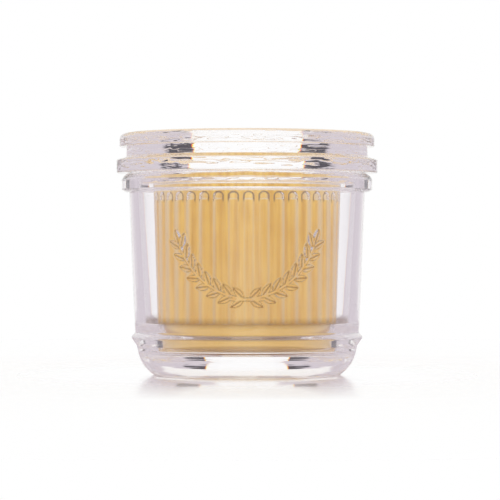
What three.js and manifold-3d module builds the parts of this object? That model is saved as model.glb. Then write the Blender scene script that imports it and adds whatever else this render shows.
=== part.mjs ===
// Butter crock: a thick glass jar, and a solid glass lid with a hanging cup packed with butter.
// Turned upside down, the cup is filled; set back on the jar, its rim dips into a little water.
// Millimetres, +Z up. The origin is the centre of the jar's foot, and the front faces -Y.

import * as THREE from 'three';
import { mergeVertices } from 'three/addons/utils/BufferGeometryUtils.js';
import Module from 'manifold-3d';

const wasm = await Module();
wasm.setup();

// Jar, outside
const jarFootRadius = 41.3;
const jarFootRingWidth = 4.2;
const jarFootEdge = 0.5;
const jarRecessDepth = 4;
const jarRecessTaper = 2;
const jarHeelTurnRadius = 47.8;
const jarHeelTurnHeight = 9.5;
const jarHeelBow = 1;
const jarHeelRadius = 48.6;
const jarHeelRise = 3.5;
const jarBeadRadius = 51.2;
const jarBeadRise = 3.8;
const jarBeadEdge = 1;
const jarWallFootRadius = 49.45;
const jarWallFootRise = 1.7;
const jarWallFootFillet = 1.2;
const jarWallTopRadius = 52.0;
const jarShoulderDrop = 8.5;
const jarShoulderRadius = 55.2;
const jarShoulderStep = 1.4;
const jarShoulderBow = 0.3;
const jarRimHeight = 88.7;
const jarRimRadius = 50.6;
const jarRimDrop = 3;
const jarRimBow = 1.1;

// Jar, inside
const jarMouthRadius = 48;
const jarMouthEdge = 0.9;
const jarWellRadius = 43.13;
const jarWellDepth = 9.3;
const jarWellTaper = 0.53;
const jarLedgeWidth = 1.67;
const jarLedgeRise = 4;
const jarFloorHeight = 10;
const jarFloorFillet = 2;

// Lid, outside
const lidRadius = 56.2;
const lidRoundEdge = 2.6;
const lidSmallEdge = 0.5;
const lidFlangeHeight = 5.9;
const lidNeckRadius = 53.3;
const lidNeckHeight = 4.3;
const lidBrimRadius = 57.5;
const lidBrimSlant = 1.5;
const lidBrimHeight = 5.8;
const lidDishRadius = 43;
const lidDishSlope = 3;
const lidDishDepth = 0.8;

// Plug that centres the lid in the jar's mouth
const plugClearance = 0.8;
const plugHeight = 5.2;
const plugTaper = 0.15;
const plugEdge = 0.3;

// Cup
const cupTopRadius = 41.3;
const cupTopFillet = 0.4;
const cupRimRadius = 39.1;
const cupRimClearance = 2.5;
const cupRimEdge = 1.6;
const cupLipEdge = 0.8;
const cupCeilingDrop = 3.8;
const cupCeilingFillet = 0.8;
const cupBoreRadius = 35.1;
const cupBoreDraft = 0.4;
const cupBandHeight = 11;
const cupBandDepth = 1;
const cupBandSlope = 0.9;

// Flutes pressed into the cup's bore, each with a round head
const fluteCount = 36;
const fluteRadius = 3.14;
const fluteDepth = 0.9;
const fluteHeadDrop = 4.7;
const fluteTurn = THREE.MathUtils.degToRad(1.2);

// Butter
const butterGap = 0.3;
const butterRecess = 2;

// Counts of facets
const turnSteps = 72;
const arcSteps = 3;
const fluteSides = 10;
const fluteHeadSteps = 2;

const overrun = 2;
const weld = 0.001;

const at = (radius, height) => new THREE.Vector2(radius, height);

// Points on a round arc from a to b, which bulges by rise to the right of the way, or to the left below zero
function bow(a, b, rise, steps = arcSteps) {
  const half = a.distanceTo(b) / 2;
  const radius = (half * half + rise * rise) / (2 * rise);
  const along = b.clone().sub(a).normalize();
  const out = new THREE.Vector2(along.y, -along.x);
  const centre = a.clone().add(b).divideScalar(2).addScaledVector(out, rise - radius);
  const sweep = 2 * Math.asin(half / radius);
  const from = a.clone().sub(centre).angle();
  const points = [];
  for (let i = 1; i < steps; i++) {
    const angle = from + (sweep * i) / steps;
    points.push(at(Math.cos(angle), Math.sin(angle)).multiplyScalar(Math.abs(radius)).add(centre));
  }
  return [a, ...points, b];
}

// A corner at p, between the points before and after it, rounded by an arc of the given radius
function corner(before, p, after, radius, steps = arcSteps) {
  const toBefore = before.clone().sub(p).normalize();
  const toAfter = after.clone().sub(p).normalize();
  const half = Math.acos(THREE.MathUtils.clamp(toBefore.dot(toAfter), -1, 1)) / 2;
  const cut = radius / Math.tan(half);
  const start = p.clone().addScaledVector(toBefore, cut);
  const end = p.clone().addScaledVector(toAfter, cut);
  const middle = toBefore.add(toAfter).normalize();
  const centre = p.clone().addScaledVector(middle, radius / Math.sin(half));
  const points = [];
  for (let i = 0; i <= steps; i++) {
    const chord = start.clone().lerp(end, i / steps).sub(centre);
    points.push(centre.clone().add(chord.setLength(radius)));
  }
  return points;
}

// A closed solid from a geometry, with its shared vertices merged
function solidOf(geometry) {
  geometry.deleteAttribute('normal');
  geometry.deleteAttribute('uv');
  const merged = mergeVertices(geometry, weld);
  const corners = merged.index.array;
  const triangles = [];
  for (let i = 0; i < corners.length; i += 3) {
    const [a, b, c] = corners.slice(i, i + 3);
    if (a !== b && b !== c && c !== a) triangles.push(a, b, c);
  }
  return new wasm.Manifold(new wasm.Mesh({
    numProp: 3,
    vertProperties: merged.attributes.position.array,
    triVerts: new Uint32Array(triangles),
  }));
}

// A profile of (radius, height) points turned about +Z
function turned(points, steps = turnSteps) {
  return new THREE.LatheGeometry(points, steps).rotateX(Math.PI / 2);
}

function geometryOf(solid) {
  const { vertProperties, triVerts } = solid.getMesh();
  const geometry = new THREE.BufferGeometry();
  geometry.setAttribute('position', new THREE.BufferAttribute(vertProperties, 3));
  geometry.setIndex(new THREE.BufferAttribute(triVerts, 1));
  geometry.computeVertexNormals();
  return geometry;
}

// Heights that more than one piece follows
const jarShoulderHeight = jarRimHeight - jarShoulderDrop;
const lidSeatHeight = jarRimHeight;
const lidBrimTop = lidSeatHeight + lidBrimHeight;
const lidNeckFoot = lidBrimTop + lidBrimSlant;
const lidNeckTop = lidNeckFoot + lidNeckHeight;
const lidHeight = lidNeckTop + lidFlangeHeight;
const cupCeilingHeight = lidSeatHeight - cupCeilingDrop;
const cupRimHeight = jarFloorHeight + cupRimClearance;
const cupBandTop = cupRimHeight + cupBandHeight;

// Radius of the cup's bore at a height: widest at the rim, so that the pressing plunger leaves it
function boreRadius(height) {
  const share = (cupCeilingHeight - height) / (cupCeilingHeight - cupRimHeight);
  return cupBoreRadius + cupBoreDraft * share;
}

// Jar: one pressing, from the middle of the recess in its foot round the outside and down to the floor
function jarProfile() {
  const ringInner = at(jarFootRadius - jarFootRingWidth, 0);
  const foot = at(jarFootRadius - jarFootEdge, 0);
  const heelStart = at(jarFootRadius, jarFootEdge / 2);
  const heelTurn = at(jarHeelTurnRadius, jarHeelTurnHeight);
  const heel = at(jarHeelRadius, heelTurn.y + jarHeelRise);
  const bead = at(jarBeadRadius, heel.y + jarBeadRise);
  const wallFoot = at(jarWallFootRadius, bead.y + jarWallFootRise);
  const wallTop = at(jarWallTopRadius, jarShoulderHeight);
  const shoulder = at(jarShoulderRadius, jarShoulderHeight + jarShoulderStep);
  const rimStart = at(jarShoulderRadius, jarRimHeight - jarRimDrop);
  const rim = at(jarRimRadius, jarRimHeight);
  const mouthTop = at(jarMouthRadius, jarRimHeight);
  const mouth = at(jarMouthRadius, jarShoulderHeight);
  const well = at(jarWellRadius, jarFloorHeight + jarWellDepth);
  const ledge = at(well.x + jarLedgeWidth, well.y + jarLedgeRise);
  const wellFoot = at(well.x - jarWellTaper, jarFloorHeight);
  const floorMiddle = at(0, jarFloorHeight);
  return [
    at(0, jarRecessDepth),
    at(ringInner.x - jarRecessTaper, jarRecessDepth),
    ringInner,
    foot,
    ...bow(heelStart, heelTurn, jarHeelBow),
    heel,
    ...corner(heel, bead, wallFoot, jarBeadEdge),
    ...corner(bead, wallFoot, wallTop, jarWallFootFillet),
    wallTop,
    ...bow(wallTop, shoulder, jarShoulderBow).slice(1),
    ...bow(rimStart, rim, jarRimBow),
    ...corner(rim, mouthTop, mouth, jarMouthEdge),
    mouth,
    ledge,
    well,
    ...corner(well, wellFoot, floorMiddle, jarFloorFillet),
    floorMiddle,
  ];
}

// Lid and cup: one pressing, from the middle of the cup's ceiling round its rim and up to the top
function bellProfile() {
  const ceiling = at(0, cupCeilingHeight);
  const ceilingEdge = at(boreRadius(cupCeilingHeight), cupCeilingHeight);
  const boreFoot = at(boreRadius(cupBandTop), cupBandTop);
  const band = at(boreFoot.x + cupBandDepth, cupBandTop - cupBandSlope);
  const rimInner = at(boreRadius(cupRimHeight) + cupBandDepth, cupRimHeight);
  const rimOuter = at(cupRimRadius, cupRimHeight);
  const plugFoot = lidSeatHeight - plugHeight;
  const cupTop = at(cupTopRadius, plugFoot);
  const plugRadius = jarMouthRadius - plugClearance;
  const plugLow = at(plugRadius - plugTaper, plugFoot);
  const plugTop = at(plugRadius, lidSeatHeight);
  const brimFoot = at(lidBrimRadius, lidSeatHeight);
  const brimTop = at(lidBrimRadius, lidBrimTop);
  const neckFoot = at(lidNeckRadius, lidNeckFoot);
  const neckTop = at(lidNeckRadius, lidNeckTop);
  const flangeFoot = at(lidRadius, lidNeckTop);
  const flangeTop = at(lidRadius, lidHeight);
  const dishEdge = at(lidDishRadius + lidDishSlope, lidHeight);
  const dish = at(lidDishRadius, lidHeight - lidDishDepth);
  return [
    ceiling,
    ...corner(ceiling, ceilingEdge, boreFoot, cupCeilingFillet),
    boreFoot,
    band,
    ...corner(band, rimInner, rimOuter, cupLipEdge),
    ...corner(rimInner, rimOuter, cupTop, cupRimEdge),
    ...corner(rimOuter, cupTop, plugLow, cupTopFillet),
    ...corner(cupTop, plugLow, plugTop, plugEdge),
    plugTop,
    ...corner(plugTop, brimFoot, brimTop, lidSmallEdge, 2),
    ...corner(brimFoot, brimTop, neckFoot, lidSmallEdge, 2),
    neckFoot,
    neckTop,
    ...corner(neckTop, flangeFoot, flangeTop, lidSmallEdge, 2),
    ...corner(flangeFoot, flangeTop, dishEdge, lidRoundEdge),
    dishEdge,
    dish,
    at(0, dish.y),
  ];
}

// The round-ended bars that press the flutes, standing in a ring along the tapered bore
function fluteBars(radius, foot, head) {
  const profile = [
    at(0, foot),
    at(radius, foot),
    ...bow(at(radius, head), at(0, head + radius), radius * (1 - Math.SQRT1_2), fluteHeadSteps),
  ];
  const lean = Math.atan((boreRadius(foot) - boreRadius(head)) / (head - foot));
  const axisRadius = boreRadius(head) + fluteDepth - fluteRadius;
  const bars = [];
  for (let i = 0; i < fluteCount; i++) {
    const bar = turned(profile, fluteSides);
    bar.translate(0, 0, -head).rotateY(-lean).translate(axisRadius, 0, head);
    bar.rotateZ(fluteTurn + (2 * Math.PI * i) / fluteCount - Math.PI / 2);
    bars.push(solidOf(bar));
  }
  return bars;
}

// Height of the sphere's centre in a flute's head, whose round edge on the bore reaches the named drop
const fluteSink = fluteRadius - fluteDepth;
const fluteHead = cupCeilingHeight - fluteHeadDrop - Math.sqrt(fluteRadius ** 2 - fluteSink ** 2);

function bellSolid() {
  let bell = solidOf(turned(bellProfile()));
  for (const bar of fluteBars(fluteRadius, cupBandTop - overrun, fluteHead)) bell = bell.subtract(bar);
  return bell;
}

// Butter: pressed into the cup, so it has the flutes as ribs, and it is smoothed off near the rim
function butterSolid() {
  const face = cupRimHeight + butterRecess;
  const top = cupCeilingHeight - butterGap;
  const lip = at(boreRadius(face) + cupBandDepth - butterGap, face);
  const side = at(boreRadius(cupBandTop) - butterGap, cupBandTop - butterGap);
  const band = at(side.x + cupBandDepth, side.y - cupBandSlope);
  const edge = at(boreRadius(top) - butterGap, top);
  const profile = [at(0, face), lip, band, side, ...corner(side, edge, at(0, top), cupCeilingFillet), at(0, top)];
  let butter = solidOf(turned(profile));
  for (const bar of fluteBars(fluteRadius - butterGap, band.y - overrun, fluteHead)) butter = butter.add(bar);
  return butter;
}

const glass = { color: 0xdad2d8, roughness: 0.03, metalness: 0, transparent: true, opacity: 0.35 };
const looks = {
  jar: new THREE.MeshStandardMaterial(glass),
  bell: new THREE.MeshStandardMaterial(glass),
  butter: new THREE.MeshStandardMaterial({ color: 0xe2b873, roughness: 0.55, metalness: 0 }),
};

function piece(name, solid) {
  const mesh = new THREE.Mesh(geometryOf(solid), looks[name]);
  mesh.name = name;
  return mesh;
}

const crock = new THREE.Group();
crock.add(piece('jar', solidOf(turned(jarProfile()))));
crock.add(piece('bell', bellSolid()));
crock.add(piece('butter', butterSolid()));

export default crock;
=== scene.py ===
import math

import bmesh
import bpy
from mathutils import Matrix, Vector


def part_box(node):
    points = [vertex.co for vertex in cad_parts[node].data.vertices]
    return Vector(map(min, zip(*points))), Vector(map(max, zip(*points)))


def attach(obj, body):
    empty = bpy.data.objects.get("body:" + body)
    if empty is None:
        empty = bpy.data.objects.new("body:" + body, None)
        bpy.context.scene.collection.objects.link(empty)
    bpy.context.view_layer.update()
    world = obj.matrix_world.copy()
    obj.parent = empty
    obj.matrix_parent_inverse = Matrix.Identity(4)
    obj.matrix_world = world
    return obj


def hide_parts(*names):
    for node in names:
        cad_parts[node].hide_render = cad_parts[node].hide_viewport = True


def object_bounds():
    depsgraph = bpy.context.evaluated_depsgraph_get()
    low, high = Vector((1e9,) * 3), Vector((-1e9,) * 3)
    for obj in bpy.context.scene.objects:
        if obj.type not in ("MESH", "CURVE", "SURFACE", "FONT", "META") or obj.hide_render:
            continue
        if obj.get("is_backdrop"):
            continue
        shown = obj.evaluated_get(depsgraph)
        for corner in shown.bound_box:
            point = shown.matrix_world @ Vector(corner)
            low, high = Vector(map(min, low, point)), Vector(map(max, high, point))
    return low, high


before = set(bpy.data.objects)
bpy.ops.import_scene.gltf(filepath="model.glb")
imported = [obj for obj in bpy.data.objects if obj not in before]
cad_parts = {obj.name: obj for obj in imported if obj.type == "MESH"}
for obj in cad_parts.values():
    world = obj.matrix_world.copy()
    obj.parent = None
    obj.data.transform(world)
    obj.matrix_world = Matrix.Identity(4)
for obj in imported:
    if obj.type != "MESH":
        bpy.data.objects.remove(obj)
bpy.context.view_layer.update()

scene = bpy.context.scene
MM = 0.001

# Camera
# A level camera at about the height of the crock's middle, 1.1 metres in front of it.
camera_data = bpy.data.cameras.new("camera")
camera_data.sensor_width = 36
camera_data.lens = 180
camera_data.clip_start = 10 * MM
camera_data.clip_end = 50
camera = bpy.data.objects.new("camera", camera_data)
camera.location = (1.32 * MM, -1103.25 * MM, 54.94 * MM)
camera.rotation_euler = (math.radians(90), 0, 0)
scene.collection.objects.link(camera)
scene.camera = camera

# Light and backdrop
# A white tent lights the crock evenly. Light that has gone through glass finds white cards in front
# and behind, grey between them and a dark slit on each side of the card behind. A mirrored ray finds
# the cards and the grey only low down, just over the table.
scene.view_settings.view_transform = "Standard"
scene.cycles.max_bounces = 128
scene.cycles.transmission_bounces = 128
scene.cycles.glossy_bounces = 64
scene.cycles.diffuse_bounces = 8
scene.cycles.blur_glossy = 0

card_half_angle = math.radians(17)
card_softness = 0.003
slit_end_angle = math.radians(29)
slit_end_softness = 0.03
slit_foot = math.radians(0.5)
slit_top = math.radians(27)
slit_softness = math.radians(1)
fringe_angle = math.radians(0.3)
sheen_foot = math.radians(2.5)
sheen_top = math.radians(3.5)
lamp_foot = math.radians(50)
lamp_softness = math.radians(20)
white = (1, 1, 1, 1)
slit_colour = (0.06, 0.055, 0.07, 1)
tent_colour = (0.66, 0.60, 0.65, 1)


def node(tree, kind, inputs=(), **settings):
    """A shader node with its settings, and its inputs as values or as sockets to link."""
    made = tree.nodes.new(kind)
    for name, value in settings.items():
        setattr(made, name, value)
    for key, value in dict(inputs).items():
        if isinstance(value, bpy.types.NodeSocket):
            tree.links.new(value, made.inputs[key])
        else:
            made.inputs[key].default_value = value
    return made


def maths(tree, operation, *values):
    """What a Math node makes of the values."""
    return node(tree, "ShaderNodeMath", dict(enumerate(values)), operation=operation).outputs[0]


def blended(tree, share, a, b):
    """Colour a where share is 0 and colour b where it is 1."""
    mix = node(tree, "ShaderNodeMix", {0: share, 6: a, 7: b}, data_type="RGBA")
    return mix.outputs[2]


def between(tree, value, low, high):
    """0 at low and 1 at high, smooth in between."""
    inputs = {0: value, 1: low, 2: high}
    ramp = node(tree, "ShaderNodeMapRange", inputs, interpolation_type="SMOOTHSTEP")
    return ramp.outputs[0]


def past(tree, value, limit, softness):
    """0 below the limit and 1 above it, smooth within softness of it."""
    return between(tree, value, limit - softness, limit + softness)


def clear_rays(tree):
    """1 for rays that glass or gloss sends on, and 0 for the eye's own and for light on matt things."""
    rays = node(tree, "ShaderNodeLightPath").outputs
    seen = maths(tree, "MAXIMUM", rays["Is Glossy Ray"], rays["Is Transmission Ray"])
    return maths(tree, "MULTIPLY", seen, maths(tree, "LESS_THAN", rays["Diffuse Depth"], 0.5))


world = bpy.data.worlds.new("tent")
world.use_nodes = True
scene.world = world
tree = world.node_tree
tree.nodes.clear()
direction = node(tree, "ShaderNodeTexCoord").outputs["Generated"]
split = node(tree, "ShaderNodeSeparateXYZ", {0: direction}).outputs
azimuth = maths(tree, "ARCTAN2", split["X"], split["Y"])
folded = maths(tree, "PINGPONG", azimuth, math.radians(90))
elevation = maths(tree, "ARCSINE", split["Z"])
depth = node(tree, "ShaderNodeLightPath").outputs["Transmission Depth"]
refracted = maths(tree, "GREATER_THAN", depth, 0.5)

# The card's ends lie apart for red, green and blue, as the fringes of colour in thick glass do.
ends = []
for shift in (-fringe_angle, 0, fringe_angle):
    shifted = maths(tree, "ADD", folded, shift)
    ends.append(past(tree, shifted, card_half_angle, card_softness))
card_end = node(tree, "ShaderNodeCombineColor", dict(enumerate(ends))).outputs[0]
slit_end = past(tree, folded, slit_end_angle, slit_end_softness)
over_table = between(tree, elevation, slit_foot, slit_foot + slit_softness)
behind = maths(tree, "MULTIPLY", over_table, maths(tree, "GREATER_THAN", split["Y"], 0))
behind = maths(tree, "MULTIPLY", behind, refracted)
slit = blended(tree, behind, tent_colour, slit_colour)
over_slit = between(tree, elevation, slit_top, slit_top + slit_softness)
beside = blended(tree, slit_end, blended(tree, over_slit, slit, tent_colour), tent_colour)
by_colour = {"data_type": "VECTOR", "factor_mode": "NON_UNIFORM"}
level = node(tree, "ShaderNodeMix", {1: card_end, 4: white[:3], 5: beside}, **by_colour).outputs[1]
overhead = between(tree, elevation, lamp_foot, lamp_foot + lamp_softness)
tent = blended(tree, overhead, level, white)
low = between(tree, elevation, sheen_top, sheen_foot)
seen = blended(tree, maths(tree, "MAXIMUM", refracted, low), white, tent)
shown = blended(tree, clear_rays(tree), white, seen)
background = node(tree, "ShaderNodeBackground", {"Color": shown, "Strength": 1.0})
node(tree, "ShaderNodeOutputWorld", {"Surface": background.outputs[0]})

# Floor
# A glossy white table, whose reflection of the crock fades out a hand's breadth from it.
# Through glass it has no gloss, and is grey beside the cards as the tent is.
floor_radius = 450 * MM
floor_height = -0.05 * MM
floor_ior = 1.6
floor_roughness = 0.15
floor_grey_softness = 0.02
reflection_start = 72 * MM
reflection_end = 188 * MM
reflection_gain = 1.5


def new_material(name):
    """A material with an empty tree of nodes."""
    material = bpy.data.materials.new(name)
    material.use_nodes = True
    material.node_tree.nodes.clear()
    return material


bm = bmesh.new()
place = Matrix.Translation((0, 0, floor_height))
bmesh.ops.create_circle(bm, cap_ends=True, segments=64, radius=floor_radius, matrix=place)
floor_mesh = bpy.data.meshes.new("floor")
bm.to_mesh(floor_mesh)
bm.free()
floor = bpy.data.objects.new("floor", floor_mesh)
scene.collection.objects.link(floor)
floor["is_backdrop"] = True

white_table = new_material("white_table")
tree = white_table.node_tree
place = node(tree, "ShaderNodeTexCoord").outputs["Object"]
distance = node(tree, "ShaderNodeVectorMath", {0: place}, operation="LENGTH").outputs["Value"]
fading = {0: distance, 1: reflection_start, 2: reflection_end, 3: 1, 4: 0}
fade = node(tree, "ShaderNodeMapRange", fading).outputs[0]
fresnel = node(tree, "ShaderNodeFresnel", {"IOR": floor_ior}).outputs[0]
through_glass = clear_rays(tree)
gloss = maths(tree, "MINIMUM", maths(tree, "MULTIPLY", fresnel, reflection_gain), 1)
gloss = maths(tree, "MULTIPLY", gloss, fade)
gloss = maths(tree, "MULTIPLY", gloss, maths(tree, "SUBTRACT", 1, through_glass))
split = node(tree, "ShaderNodeSeparateXYZ", {0: place}).outputs
away = maths(tree, "ABSOLUTE", split["Y"])
beside = maths(tree, "ABSOLUTE", maths(tree, "ARCTAN2", split["X"], away))
off_card = past(tree, beside, card_half_angle, floor_grey_softness)
grey = maths(tree, "MULTIPLY", off_card, through_glass)
matt = node(tree, "ShaderNodeBsdfDiffuse", {"Color": blended(tree, grey, white, tent_colour)}).outputs[0]
mirror = node(tree, "ShaderNodeBsdfGlossy", {"Color": white, "Roughness": floor_roughness}).outputs[0]
surface = node(tree, "ShaderNodeMixShader", {0: gloss, 1: matt, 2: mirror})
node(tree, "ShaderNodeOutputMaterial", {"Surface": surface.outputs[0]})
floor_mesh.materials.append(white_table)

# Jar
# The outer jar, one heavy pressing of clear glass. It stands on a ring round a flat recess, and a bead
# runs round it where the mould's base meets its wall. The mould gives the front two crossed sprigs in
# low relief, and the inside a ledge above the well.
jar_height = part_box("jar")[1].z
foot_radius = 41.3 * MM
foot_ring_width = 4.2 * MM
foot_edge = 0.5 * MM
recess_depth = 4 * MM
recess_taper = 2 * MM
heel_turn_radius = 47.8 * MM
heel_turn_height = 9.5 * MM
heel_bow = 1.0 * MM
heel_radius = 48.6 * MM
heel_rise = 3.5 * MM
bead_radius = 51.2 * MM
bead_rise = 3.8 * MM
bead_edge = 1.0 * MM
wall_foot_radius = 49.45 * MM
wall_foot_rise = 1.7 * MM
wall_foot_fillet = 1.2 * MM
wall_top_radius = 52.0 * MM
shoulder_drop = 8.5 * MM
shoulder_radius = 55.2 * MM
shoulder_step = 1.4 * MM
shoulder_bow = 0.3 * MM
rim_radius = 50.6 * MM
rim_drop = 3.0 * MM
rim_bow = 1.1 * MM
mouth_radius = 48.0 * MM
mouth_edge = 0.9 * MM
well_radius = 43.13 * MM
well_depth = 9.3 * MM
well_taper = 0.53 * MM
ledge_width = 1.67 * MM
ledge_rise = 4 * MM
well_floor = 10.0 * MM
floor_fillet = 2 * MM
turn_steps = 240
weld_distance = 0.001 * MM
sprig_radius = 36 * MM
sprig_foot = 34 * MM
sprig_cross = 3 * MM
sprig_reach = math.radians(68)
stem_start = -0.14
stem_width = 0.6 * MM
leaf_pairs = 8
leaf_length = 7.6 * MM
leaf_width = 1.75 * MM
leaf_lean = math.radians(38)
leaf_fullness = 0.8
first_leaf = 0.8
last_leaf = 1.02
rib_width = 0.35 * MM
rib_depth = 0.5
relief_height = 0.8 * MM
relief_edge = 0.6 * MM
relief_low = 30 * MM
relief_high = 64 * MM
relief_half_turn = math.radians(46)
relief_steps = 100
relief_cuts = 2
level_within = 0.01 * MM
# Painted shade: a fine dark line at the ledge's top, and dark brown on the relief's flanks.
ledge_shade_width = 0.3 * MM
ledge_shade_depth = 0.9
edge_shade_colour = (0.30, 0.20, 0.11, 1)
glass_colour = (0.99, 0.985, 0.99, 1)
glass_roughness = 0.008
glass_ior = 1.51
ripple_scale = 200.0
ripple_height = 0.1 * MM


def point(radius, height):
    """A point of an outline."""
    return Vector((radius, height))


def bow(a, b, rise, steps=10):
    """An arc from a to b that bulges by rise to the right of the way, or to the left below zero."""
    chord = b - a
    half = chord.length / 2
    radius = (half * half + rise * rise) / (2 * rise)
    across = Vector((chord.y, -chord.x)).normalized()
    centre = (a + b) / 2 + across * (rise - radius)
    sweep = 2 * math.asin(half / radius)
    start = math.atan2(a.y - centre.y, a.x - centre.x)
    inner = [start + sweep * i / steps for i in range(1, steps)]
    return [a, *[centre + abs(radius) * Vector((math.cos(t), math.sin(t))) for t in inner], b]


def corner(before, p, after, radius, steps=6):
    """The corner at p, rounded between the points before and after it."""
    back = (before - p).normalized()
    on = (after - p).normalized()
    half = math.acos(max(-1, min(1, back.dot(on)))) / 2
    cut = radius / math.tan(half)
    centre = p + (back + on).normalized() * radius / math.sin(half)
    start = p + back * cut
    end = p + on * cut
    chords = [start.lerp(end, i / steps) - centre for i in range(steps + 1)]
    return [centre + chord.normalized() * radius for chord in chords]


def supported(outline, longest=3.0 * MM, near=0.12 * MM):
    """The outline with points close to both ends of each long straight, and more along it."""
    points = [outline[0]]
    for a, b in zip(outline, outline[1:]):
        length = (b - a).length
        if length > 4 * near:
            count = math.ceil(length / longest)
            shares = [near / length, *[i / count for i in range(1, count)], 1 - near / length]
            points += [a.lerp(b, share) for share in shares]
        points.append(b)
    return points


def turned(outline, steps=turn_steps):
    """A bmesh of the outline turned about the axis: one sixteenth is spun, then doubled four times."""
    bm = bmesh.new()
    ring = [bm.verts.new((p.x, 0, p.y)) for p in supported(outline)]
    edges = [bm.edges.new(pair) for pair in zip(ring, ring[1:])]
    sweep = math.tau / 16
    turn = {"cent": (0, 0, 0), "axis": (0, 0, 1), "dvec": (0, 0, 0), "angle": sweep}
    bmesh.ops.spin(bm, geom=ring + edges, steps=steps // 16, **turn)
    while sweep < 0.99 * math.tau:
        copy = bmesh.ops.duplicate(bm, geom=bm.verts[:] + bm.edges[:] + bm.faces[:])["geom"]
        moved = [v for v in copy if isinstance(v, bmesh.types.BMVert)]
        bmesh.ops.rotate(bm, verts=moved, cent=(0, 0, 0), matrix=Matrix.Rotation(sweep, 3, "Z"))
        sweep *= 2
    bmesh.ops.remove_doubles(bm, verts=bm.verts, dist=weld_distance)
    bmesh.ops.recalc_face_normals(bm, faces=bm.faces)
    return bm


def finished(name, bm, material, body):
    """The piece as a smooth object of its material, which rides on its body."""
    mesh = bpy.data.meshes.new(name)
    for face in bm.faces:
        face.smooth = True
    bm.to_mesh(mesh)
    bm.free()
    piece = bpy.data.objects.new(name, mesh)
    scene.collection.objects.link(piece)
    mesh.materials.append(material)
    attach(piece, body)
    return piece


# The ripple in fire-polished glass. A Stretch above 1 packs it closer in height, so that it runs round.
pressed_ripple = bpy.data.node_groups.new("pressed_ripple", "ShaderNodeTree")
pressed_ripple.interface.new_socket("Strength", in_out="INPUT", socket_type="NodeSocketFloat")
pressed_ripple.interface.new_socket("Stretch", in_out="INPUT", socket_type="NodeSocketFloat")
pressed_ripple.interface.new_socket("Normal", in_out="OUTPUT", socket_type="NodeSocketVector")
tree = pressed_ripple
given = node(tree, "NodeGroupInput").outputs
place = node(tree, "ShaderNodeTexCoord").outputs["Object"]
stretch = node(tree, "ShaderNodeCombineXYZ", {0: 1, 1: 1, 2: given["Stretch"]}).outputs[0]
packed = node(tree, "ShaderNodeVectorMath", {0: place, 1: stretch}, operation="MULTIPLY").outputs[0]
waves = node(tree, "ShaderNodeTexNoise", {"Vector": packed, "Scale": ripple_scale, "Detail": 0.0}).outputs[0]
bumps = {"Height": waves, "Strength": given["Strength"], "Distance": ripple_height}
node(tree, "NodeGroupOutput", {"Normal": node(tree, "ShaderNodeBump", bumps).outputs[0]})


def glass(name, ripple, stretch):
    """Clear pressed glass, with as much ripple and stretch as is given."""
    material = new_material(name)
    tree = material.node_tree
    rippled = {"Strength": ripple, "Stretch": stretch}
    inputs = {
        "Base Color": glass_colour,
        "Roughness": glass_roughness,
        "IOR": glass_ior,
        "Transmission Weight": 1.0,
        "Normal": node(tree, "ShaderNodeGroup", rippled, node_tree=pressed_ripple).outputs["Normal"],
    }
    skin = node(tree, "ShaderNodeBsdfPrincipled", inputs)
    node(tree, "ShaderNodeOutputMaterial", {"Surface": skin.outputs[0]})
    return material


shoulder_height = jar_height - shoulder_drop
ring_inner = point(foot_radius - foot_ring_width, 0)
foot = point(foot_radius - foot_edge, 0)
heel_start = point(foot_radius, foot_edge / 2)
heel_turn = point(heel_turn_radius, heel_turn_height)
heel = point(heel_radius, heel_turn_height + heel_rise)
bead = point(bead_radius, heel.y + bead_rise)
wall_foot = point(wall_foot_radius, bead.y + wall_foot_rise)
wall_top = point(wall_top_radius, shoulder_height)
shoulder = point(shoulder_radius, shoulder_height + shoulder_step)
rim_start = point(shoulder_radius, jar_height - rim_drop)
rim = point(rim_radius, jar_height)
mouth_top = point(mouth_radius, jar_height)
mouth = point(mouth_radius, shoulder_height)
well = point(well_radius, well_floor + well_depth)
ledge = point(well.x + ledge_width, well.y + ledge_rise)
well_foot = point(well.x - well_taper, well_floor)
floor_middle = point(0, well_floor)
relief_rows = [
    relief_low + (relief_high - relief_low) * i / relief_steps
    for i in range(relief_steps + 1)
]
jar_outline = [
    point(0, recess_depth),
    point(ring_inner.x - recess_taper, recess_depth),
    ring_inner,
    foot,
    *bow(heel_start, heel_turn, heel_bow, steps=14),
    heel,
    *corner(heel, bead, wall_foot, bead_edge, steps=12),
    *corner(bead, wall_foot, wall_top, wall_foot_fillet),
    *[wall_foot.lerp(wall_top, (z - wall_foot.y) / (wall_top.y - wall_foot.y)) for z in relief_rows],
    wall_top,
    *bow(wall_top, shoulder, shoulder_bow, steps=6)[1:],
    *bow(rim_start, rim, rim_bow, steps=8),
    *corner(rim, mouth_top, mouth, mouth_edge),
    mouth,
    ledge,
    well,
    *corner(well, well_foot, floor_middle, floor_fillet, steps=12),
    floor_middle,
]
bm = turned(jar_outline)


def on_front(v):
    """Whether a vertex lies on the wall's outside, where the relief is."""
    wall = math.hypot(v.co.x, v.co.y) > (wall_foot_radius + mouth_radius) / 2
    turn = math.atan2(v.co.x, -v.co.y)
    return wall and relief_low < v.co.z < relief_high and abs(turn) < relief_half_turn


level_edges = []
for edge in bm.edges:
    rise = abs(edge.verts[0].co.z - edge.verts[1].co.z)
    if rise < level_within and all(map(on_front, edge.verts)):
        level_edges.append(edge)
bmesh.ops.subdivide_edges(bm, edges=level_edges, cuts=relief_cuts, use_grid_fill=True)


def stem_point(side, angle):
    """The point on the unrolled front that a sprig's stem reaches at this angle of its arc."""
    off = sprig_radius * math.sin(angle) - sprig_cross
    rise = sprig_radius * (1 - math.cos(angle))
    return Vector((side * off, sprig_foot + rise))


def stem_way(side, angle):
    """The way that the stem takes at this angle of its arc."""
    return Vector((side * math.cos(angle), math.sin(angle)))


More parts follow.
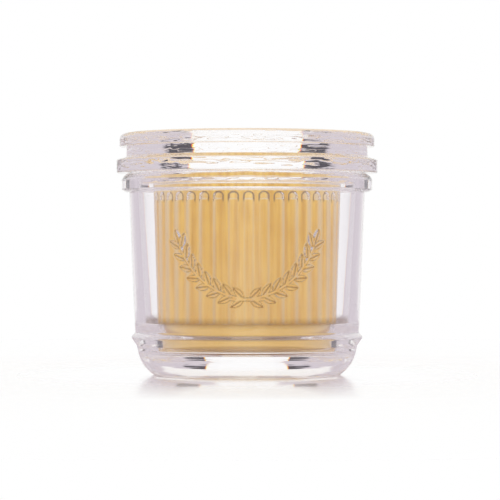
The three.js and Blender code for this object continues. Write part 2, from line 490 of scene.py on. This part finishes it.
leaves = []
for side in (-1, 1):
    for i in range(leaf_pairs):
        angle = sprig_reach * (i + first_leaf) / leaf_pairs
        for lean in (-leaf_lean, leaf_lean):
            leaves.append((stem_point(side, angle), stem_way(side, angle + lean)))
    tip_angle = sprig_reach * last_leaf
    leaves.append((stem_point(side, tip_angle), stem_way(side, tip_angle)))


def relief(place):
    """Share of the relief's height at a place on the unrolled front."""
    height = 0
    for side in (-1, 1):
        centre = Vector((-side * sprig_cross, sprig_foot + sprig_radius))
        off = place - centre
        angle = math.atan2(side * off.x, -off.y)
        if stem_start < angle < sprig_reach:
            inside = stem_width - abs(off.length - sprig_radius)
            height = max(height, min(1, max(0, inside / relief_edge + 0.5)))
    for root, way in leaves:
        off = place - root
        along = off.dot(way) / leaf_length
        if 0 < along < 1:
            across = abs(off.x * way.y - off.y * way.x)
            inside = leaf_width * math.sin(math.pi * along ** leaf_fullness) - across
            rib = 1 - rib_depth * math.exp(-(across / rib_width) ** 2)
            height = max(height, rib * min(1, max(0, inside / relief_edge)))
    return height * height * (3 - 2 * height)


# Painted shade: the glass is tinted brown where it looks brown, on the relief's flanks and in a fine line at
# the ledge's top, standing in for the dark surroundings that these slopes show.
edge_shade_layer = bm.verts.layers.float.new("painted_edge_shade")
for v in bm.verts:
    radius = math.hypot(v.co.x, v.co.y)
    if (point(radius, v.co.z) - ledge).length < ledge_shade_width:
        v[edge_shade_layer] = ledge_shade_depth
    if on_front(v):
        turn = math.atan2(v.co.x, -v.co.y)
        height = relief(Vector((turn * wall_top_radius, v.co.z)))
        v[edge_shade_layer] = 4 * height * (1 - height)
        share = 1 + height * relief_height / radius
        v.co.x *= share
        v.co.y *= share

jar_glass = glass("jar_glass", ripple=0.04, stretch=1)
tree = jar_glass.node_tree
# The painted edge shade tints the glass's colour.
painted_edge_shade = node(tree, "ShaderNodeAttribute", attribute_name="painted_edge_shade").outputs["Fac"]
tint = blended(tree, painted_edge_shade, glass_colour, edge_shade_colour)
tree.links.new(tint, tree.nodes["Principled BSDF"].inputs["Base Color"])
jar = finished("jar_pressing", bm, jar_glass, "jar")
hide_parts("jar")

# Lid and cup
# The lid and its hanging cup, one solid pressing of the same glass. Flutes run up the cup's bore
# to round heads under the lid, and a short plug centres it in the jar's mouth.
seat_gap = 0.06 * MM
lid_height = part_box("bell")[1].z
lid_radius = 56.2 * MM
lid_round_edge = 2.6 * MM
lid_small_edge = 0.5 * MM
neck_radius = 53.3 * MM
neck_height = 4.3 * MM
brim_radius = 57.5 * MM
brim_slant = 1.5 * MM
brim_height = 5.8 * MM
dish_radius = 43 * MM
dish_slope = 3 * MM
dish_depth = 0.8 * MM
plug_gap = 0.8 * MM
plug_radius = mouth_radius - plug_gap
plug_height = 5.2 * MM
plug_taper = 0.15 * MM
plug_edge = 0.3 * MM
cup_top_radius = 41.3 * MM
cup_top_fillet = 0.4 * MM
cup_rim_radius = 39.1 * MM
cup_rim_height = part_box("bell")[0].z
cup_rim_edge = 1.6 * MM
cup_lip_edge = 0.8 * MM
ceiling_drop = 3.8 * MM
ceiling_height = jar_height - ceiling_drop
ceiling_fillet = 0.8 * MM
bore_radius = 35.1 * MM
bore_draft = 0.4 * MM
band_height = 11 * MM
band_depth = 1 * MM
band_slope = 0.9 * MM
flute_count = 36
flute_radius = 3.14 * MM
flute_depth = 0.9 * MM
flute_head_drop = 4.7 * MM
flute_head_height = ceiling_height - flute_head_drop
flute_turn = math.radians(1.2)
flute_pitch = math.tau / flute_count
head_row_space = 0.4 * MM
head_rows = range(6, 26)
cup_steps = flute_count * 12


def bore(height):
    """Radius of the cup's bore between two flutes."""
    share = (ceiling_height - height) / (ceiling_height - cup_rim_height)
    return bore_radius + bore_draft * share


flute_sink = flute_radius - flute_depth
flute_head = flute_head_height - math.sqrt(flute_radius ** 2 - flute_sink ** 2)


def fluted(x, y, height, radius):
    """The radius that a flute gives the bore at this place, or radius where none reaches it."""
    turn = math.atan2(y, x) + math.tau / 4 - flute_turn
    off = (turn + flute_pitch / 2) % flute_pitch - flute_pitch / 2
    axis = bore(height) - flute_sink
    above = max(0, height - flute_head)
    inside = flute_radius ** 2 - above ** 2 - (axis * math.sin(off)) ** 2
    if inside <= 0:
        return radius
    return max(radius, axis * math.cos(off) + math.sqrt(inside))


seat = jar_height + seat_gap
brim_top = jar_height + brim_height
neck_foot_height = brim_top + brim_slant
neck_top_height = neck_foot_height + neck_height
band_top = cup_rim_height + band_height
ceiling = point(0, ceiling_height)
ceiling_edge = point(bore(ceiling_height), ceiling_height)
bore_foot = point(bore(band_top), band_top)
band = point(bore_foot.x + band_depth, band_top - band_slope)
rim_inner = point(bore(cup_rim_height) + band_depth, cup_rim_height)
rim_outer = point(cup_rim_radius, cup_rim_height)
cup_top = point(cup_top_radius, jar_height - plug_height)
plug_low = point(plug_radius - plug_taper, jar_height - plug_height)
plug_top = point(plug_radius, seat)
brim_low = point(brim_radius, seat)
brim_high = point(brim_radius, brim_top)
neck_foot = point(neck_radius, neck_foot_height)
neck_top = point(neck_radius, neck_top_height)
flange_low = point(lid_radius, neck_top_height)
flange_high = point(lid_radius, lid_height)
dish_edge = point(dish_radius + dish_slope, lid_height)
dish = point(dish_radius, lid_height - dish_depth)
bore_length = ceiling_height - band_top
bell_outline = [
    ceiling,
    *corner(ceiling, ceiling_edge, bore_foot, ceiling_fillet),
    *[bore_foot.lerp(ceiling_edge, 1 - i * head_row_space / bore_length) for i in head_rows],
    bore_foot,
    band,
    *corner(band, rim_inner, rim_outer, cup_lip_edge),
    *corner(rim_inner, rim_outer, cup_top, cup_rim_edge),
    *corner(rim_outer, cup_top, plug_low, cup_top_fillet),
    *corner(cup_top, plug_low, plug_top, plug_edge),
    plug_top,
    *corner(plug_top, brim_low, brim_high, lid_small_edge, steps=4),
    *corner(brim_low, brim_high, neck_foot, lid_small_edge, steps=4),
    neck_foot,
    neck_top,
    *corner(neck_top, flange_low, flange_high, lid_small_edge, steps=4),
    *corner(flange_low, flange_high, dish_edge, lid_round_edge, steps=8),
    dish_edge,
    dish,
    point(0, dish.y),
]
bm = turned(bell_outline, cup_steps)
for v in bm.verts:
    radius = math.hypot(v.co.x, v.co.y)
    inside_cup = radius < bore(v.co.z) + flute_depth / 2 and radius > bore(v.co.z) - ceiling_fillet
    if inside_cup and band.y < v.co.z < ceiling_height:
        share = fluted(v.co.x, v.co.y, v.co.z, radius) / radius
        v.co.x *= share
        v.co.y *= share
bell_glass = glass("bell_glass", ripple=1.0, stretch=4)
bell = finished("lid_and_cup", bm, bell_glass, "lid")
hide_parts("bell")

# Butter
# Soft butter, pressed into the cup until it touches the glass, and smoothed off at the rim. It fills
# the flutes to just under their heads, and nothing holds it but its own grip on the glass.
contact = 0.05 * MM
butter_face = cup_rim_height + 2 * MM
butter_top = ceiling_height + contact
butter_edge = 0.5 * MM
pocket_foot = 77.1 * MM
pocket_slope = 0.5 * MM
# Painted shade round the flutes' heads.
head_shade_radius = 2.0 * MM
head_shade_width = 0.45 * MM
head_shade_length = 3 * MM
# Painted shade at the butter's lower edge.
foot_shade_height = 3.4 * MM
top_mark_start = 1 * MM
top_mark_end = 0.3 * MM
deep_height = 30 * MM
upper_height = 70 * MM
fine_scale = 500.0
fine_share = 0.75
fine_draw = 0.03
broad_scale = 60.0
streak_low = 0.38
streak_high = 0.62
band_smoothness = 0.8
# Painted sheen where the butter's side turns away from the eye.
sheen_facing = 0.35
sheen_share = 0.75
butter_roughness = 0.6
butter_ior = 1.46
butter_colour = (0.97, 0.68, 0.15, 1)
streak_colour = (0.79, 0.48, 0.08, 1)
deep_colour = (1.0, 0.75, 0.25, 1)
deep_streak_colour = (0.88, 0.59, 0.16, 1)
# The painted sheen's pale colour.
side_sheen_colour = (0.84, 0.74, 0.56, 1)
# Painted shade colour of the lines round the flutes' heads.
head_shade_colour = (0.32, 0.18, 0.05, 1)
# Painted shade colour of the butter's foot.
foot_shade_colour = (0.60, 0.39, 0.13, 1)
top_colour = (0.90, 0.76, 0.58, 1)

face_middle = point(0, butter_face)
top_middle = point(0, butter_top)
butter_band = point(band.x + contact, band.y)
butter_side = point(bore_foot.x + contact, bore_foot.y)
butter_lip = point(rim_inner.x + contact, butter_face)
side_foot = point(bore(butter_face) + contact, butter_face)
side_top = point(bore(butter_top) + contact, butter_top)
butter_rows = [butter_top - i * head_row_space for i in range(head_rows.stop, head_rows.start - 1, -1)]
butter_outline = [
    face_middle,
    *corner(face_middle, butter_lip, butter_band, butter_edge),
    butter_band,
    butter_side,
    *[point(bore(z) + contact, z) for z in butter_rows],
    *corner(side_foot, side_top, top_middle, ceiling_fillet),
    top_middle,
]
bm = turned(butter_outline, cup_steps)
for v in bm.verts:
    radius = math.hypot(v.co.x, v.co.y)
    if radius > bore(v.co.z) - ceiling_fillet and v.co.z > band.y:
        share = max(1, (fluted(v.co.x, v.co.y, v.co.z, radius - contact) + contact) / radius)
        fill = max(0, min(1, (pocket_foot - v.co.z) / pocket_slope))
        v.co.x *= 1 + (share - 1) * fill
        v.co.y *= 1 + (share - 1) * fill

butter_material = new_material("butter")
tree = butter_material.node_tree
place = node(tree, "ShaderNodeTexCoord").outputs["Object"]
split = node(tree, "ShaderNodeSeparateXYZ", {0: place}).outputs
turn = maths(tree, "ADD", maths(tree, "ARCTAN2", split["Y"], split["X"]), math.tau / 4 - flute_turn)

# Streaks up the side, smoothed in the band at the rim.
round_way = maths(tree, "MULTIPLY", turn, bore_radius)
rolled = node(tree, "ShaderNodeCombineXYZ", {0: round_way, 1: split["Z"]}).outputs[0]
drawing = {0: rolled, 1: (1, fine_draw, 1)}
drawn = node(tree, "ShaderNodeVectorMath", drawing, operation="MULTIPLY").outputs[0]
fine = node(tree, "ShaderNodeTexNoise", {"Vector": drawn, "Scale": fine_scale, "Detail": 3.0}).outputs[0]
broad = node(tree, "ShaderNodeTexNoise", {"Vector": rolled, "Scale": broad_scale, "Detail": 2.0}).outputs[0]
fine = maths(tree, "MULTIPLY", fine, fine_share)
broad = maths(tree, "MULTIPLY", broad, 1 - fine_share)
streak = between(tree, maths(tree, "ADD", fine, broad), streak_low, streak_high)
in_band = between(tree, split["Z"], band_top, band.y)
streak = maths(tree, "MAXIMUM", streak, maths(tree, "MULTIPLY", in_band, band_smoothness))
upper = blended(tree, streak, streak_colour, butter_colour)
deep = blended(tree, streak, deep_streak_colour, deep_colour)
tint = blended(tree, between(tree, split["Z"], deep_height, upper_height), deep, upper)

# Painted sheen: a pale tint where the side turns away from the eye, standing in for the white surroundings
# reflected there.
facing = node(tree, "ShaderNodeLayerWeight", {"Blend": 0.5}).outputs["Facing"]
painted_side_sheen = maths(tree, "MULTIPLY", between(tree, facing, 0.0, sheen_facing), sheen_share)
tint = blended(tree, painted_side_sheen, tint, side_sheen_colour)

# Painted shade: brown lines round the flutes' heads and a brown foot at the butter's lower edge. A pale top.
half_pitch = flute_pitch / 2
off_rib = maths(tree, "PINGPONG", maths(tree, "ADD", turn, half_pitch), half_pitch)
off_flute = maths(tree, "SUBTRACT", half_pitch, off_rib)
sideways = maths(tree, "MULTIPLY", off_flute, bore_radius)
over_head = maths(tree, "MAXIMUM", maths(tree, "SUBTRACT", split["Z"], flute_head), 0)
squares = [maths(tree, "POWER", way, 2) for way in (sideways, over_head)]
reach = maths(tree, "SQRT", maths(tree, "ADD", *squares))
off_edge = maths(tree, "ABSOLUTE", maths(tree, "SUBTRACT", reach, head_shade_radius))
# Painted shade: a brown line round each flute's head.
line = between(tree, off_edge, head_shade_width, head_shade_width / 3)
head_shade_foot = flute_head - head_shade_length
near_head = between(tree, split["Z"], head_shade_foot, flute_head - head_shade_length / 3)
tint = blended(tree, maths(tree, "MULTIPLY", line, near_head), tint, head_shade_colour)
# Painted shade: the butter darkens towards its lower edge.
foot_shade = between(tree, split["Z"], butter_face + foot_shade_height, butter_face + foot_shade_height / 2)
tint = blended(tree, foot_shade, tint, foot_shade_colour)
at_top = between(tree, split["Z"], ceiling_height - top_mark_start, ceiling_height - top_mark_end)
tint = blended(tree, at_top, tint, top_colour)
inputs = {"Base Color": tint, "Roughness": butter_roughness, "IOR": butter_ior}
skin = node(tree, "ShaderNodeBsdfPrincipled", inputs)
node(tree, "ShaderNodeOutputMaterial", {"Surface": skin.outputs[0]})
butter = finished("butter_fill", bm, butter_material, "lid")
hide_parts("butter")

low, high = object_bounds()
